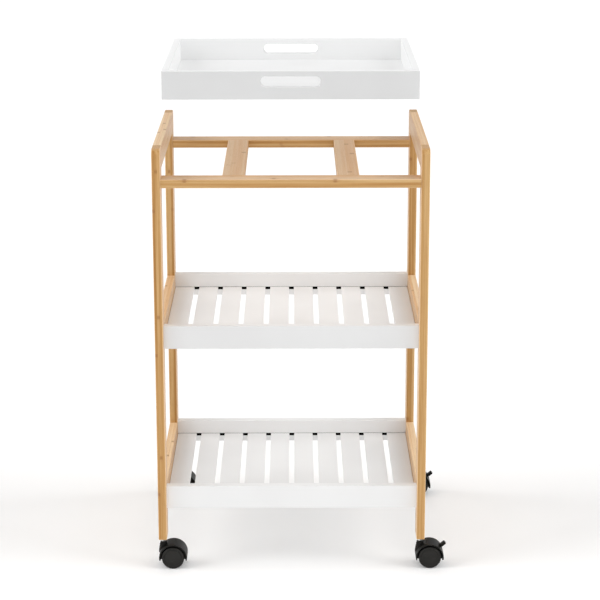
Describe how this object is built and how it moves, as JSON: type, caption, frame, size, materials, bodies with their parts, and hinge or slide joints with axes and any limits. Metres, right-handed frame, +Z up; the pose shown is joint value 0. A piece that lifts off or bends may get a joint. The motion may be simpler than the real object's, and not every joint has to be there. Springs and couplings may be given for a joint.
{
  "type": "rolling utility cart",
  "caption": "Bamboo rolling cart with slatted white shelves, a lift-off white tray with handle slots, and swivelling black twin-wheel casters, some with brake levers.",
  "frame": {"origin": "on the floor, under the middle of the bamboo frame", "axes": "+Z up, +X to the right and -Y towards the viewer who faces the cart's front"},
  "size_m": [0.5216, 0.41, 0.9073],
  "materials": {
    "bamboo": "satin clear lacquer",
    "white_mdf": "satin white lacquer",
    "black_plastic": "moulded, fine texture",
    "steel": "zinc plated"
  },
  "bodies": {
    "frame": {"post_front_left": "bamboo", "post_rear_left": "bamboo", "top_rail_left": "bamboo", "mid_rail_left": "bamboo", "low_rail_left": "bamboo", "post_front_right": "bamboo", "post_rear_right": "bamboo", "top_rail_right": "bamboo", "mid_rail_right": "bamboo", "low_rail_right": "bamboo", "tray_rail_front": "bamboo", "tray_rail_rear": "bamboo", "tray_slat_left": "bamboo", "tray_slat_right": "bamboo", "mid_shelf_front_board": "white_mdf", "mid_shelf_back_board": "white_mdf", "mid_shelf_floor": "white_mdf", "low_shelf_front_board": "white_mdf", "low_shelf_back_board": "white_mdf", "low_shelf_floor": "white_mdf", "caster_stem_front_left": "steel", "caster_stem_rear_left": "steel", "caster_stem_front_right": "steel", "caster_stem_rear_right": "steel", "bolt_tray_front_left": "steel", "bolt_mid_front_left": "steel", "bolt_low_front_left": "steel", "bolt_tray_rear_left": "steel", "bolt_mid_rear_left": "steel", "bolt_low_rear_left": "steel", "bolt_tray_front_right": "steel", "bolt_mid_front_right": "steel", "bolt_low_front_right": "steel", "bolt_tray_rear_right": "steel", "bolt_mid_rear_right": "steel", "bolt_low_rear_right": "steel"},
    "tray": {"tray_front_board": "white_mdf", "tray_back_board": "white_mdf", "tray_left_board": "white_mdf", "tray_right_board": "white_mdf", "tray_floor": "white_mdf"},
    "swivel_front_left": {"caster_hood_front_left": "black_plastic", "caster_axle_front_left": "steel"},
    "wheel_front_left_fore": {"wheel_front_left_fore": "black_plastic"},
    "wheel_front_left_aft": {"wheel_front_left_aft": "black_plastic"},
    "swivel_rear_left": {"caster_hood_rear_left": "black_plastic", "caster_axle_rear_left": "steel"},
    "wheel_rear_left_fore": {"wheel_rear_left_fore": "black_plastic"},
    "wheel_rear_left_aft": {"wheel_rear_left_aft": "black_plastic"},
    "swivel_front_right": {"caster_hood_front_right": "black_plastic", "caster_axle_front_right": "steel"},
    "wheel_front_right_fore": {"wheel_front_right_fore": "black_plastic"},
    "wheel_front_right_aft": {"wheel_front_right_aft": "black_plastic"},
    "brake_lever_front_right": {"brake_lever_front_right": "black_plastic"},
    "swivel_rear_right": {"caster_hood_rear_right": "black_plastic", "caster_axle_rear_right": "steel"},
    "wheel_rear_right_fore": {"wheel_rear_right_fore": "black_plastic"},
    "wheel_rear_right_aft": {"wheel_rear_right_aft": "black_plastic"},
    "brake_lever_rear_right": {"brake_lever_rear_right": "black_plastic"}
  },
  "joints": [
    {"name": "lift_tray", "type": "slide", "parent": "frame", "child": "tray", "axis": [0, 0, 1], "range_m": [-0.139, 0.06]},
    {"name": "swivel_front_left", "type": "hinge", "parent": "frame", "child": "swivel_front_left", "pos_m": [-0.2325, -0.185, 0.0203], "axis": [0, 0, 1], "continuous": true},
    {"name": "wheel_front_left_fore", "type": "hinge", "parent": "swivel_front_left", "child": "wheel_front_left_fore", "pos_m": [-0.215, -0.185, 0.0203], "axis": [0, 1, 0], "continuous": true},
    {"name": "wheel_front_left_aft", "type": "hinge", "parent": "swivel_front_left", "child": "wheel_front_left_aft", "pos_m": [-0.215, -0.185, 0.0203], "axis": [0, 1, 0], "continuous": true},
    {"name": "swivel_rear_left", "type": "hinge", "parent": "frame", "child": "swivel_rear_left", "pos_m": [-0.2325, 0.185, 0.0203], "axis": [0, 0, 1], "continuous": true},
    {"name": "wheel_rear_left_fore", "type": "hinge", "parent": "swivel_rear_left", "child": "wheel_rear_left_fore", "pos_m": [-0.215, 0.185, 0.0203], "axis": [0, 1, 0], "continuous": true},
    {"name": "wheel_rear_left_aft", "type": "hinge", "parent": "swivel_rear_left", "child": "wheel_rear_left_aft", "pos_m": [-0.215, 0.185, 0.0203], "axis": [0, 1, 0], "continuous": true},
    {"name": "swivel_front_right", "type": "hinge", "parent": "frame", "child": "swivel_front_right", "pos_m": [0.2325, -0.185, 0.0203], "axis": [0, 0, 1], "continuous": true},
    {"name": "wheel_front_right_fore", "type": "hinge", "parent": "swivel_front_right", "child": "wheel_front_right_fore", "pos_m": [0.25, -0.185, 0.0203], "axis": [0, 1, 0], "continuous": true},
    {"name": "wheel_front_right_aft", "type": "hinge", "parent": "swivel_front_right", "child": "wheel_front_right_aft", "pos_m": [0.25, -0.185, 0.0203], "axis": [0, 1, 0], "continuous": true},
    {"name": "brake_front_right", "type": "hinge", "parent": "swivel_front_right", "child": "brake_lever_front_right", "pos_m": [0.26341, -0.185, 0.03155], "axis": [0, 1, 0], "range_deg": [0, 22]},
    {"name": "swivel_rear_right", "type": "hinge", "parent": "frame", "child": "swivel_rear_right", "pos_m": [0.2325, 0.185, 0.0203], "axis": [0, 0, 1], "continuous": true},
    {"name": "wheel_rear_right_fore", "type": "hinge", "parent": "swivel_rear_right", "child": "wheel_rear_right_fore", "pos_m": [0.25, 0.185, 0.0203], "axis": [0, 1, 0], "continuous": true},
    {"name": "wheel_rear_right_aft", "type": "hinge", "parent": "swivel_rear_right", "child": "wheel_rear_right_aft", "pos_m": [0.25, 0.185, 0.0203], "axis": [0, 1, 0], "continuous": true},
    {"name": "brake_rear_right", "type": "hinge", "parent": "swivel_rear_right", "child": "brake_lever_rear_right", "pos_m": [0.26341, 0.185, 0.03155], "axis": [0, 1, 0], "range_deg": [0, 22]}
  ]
}
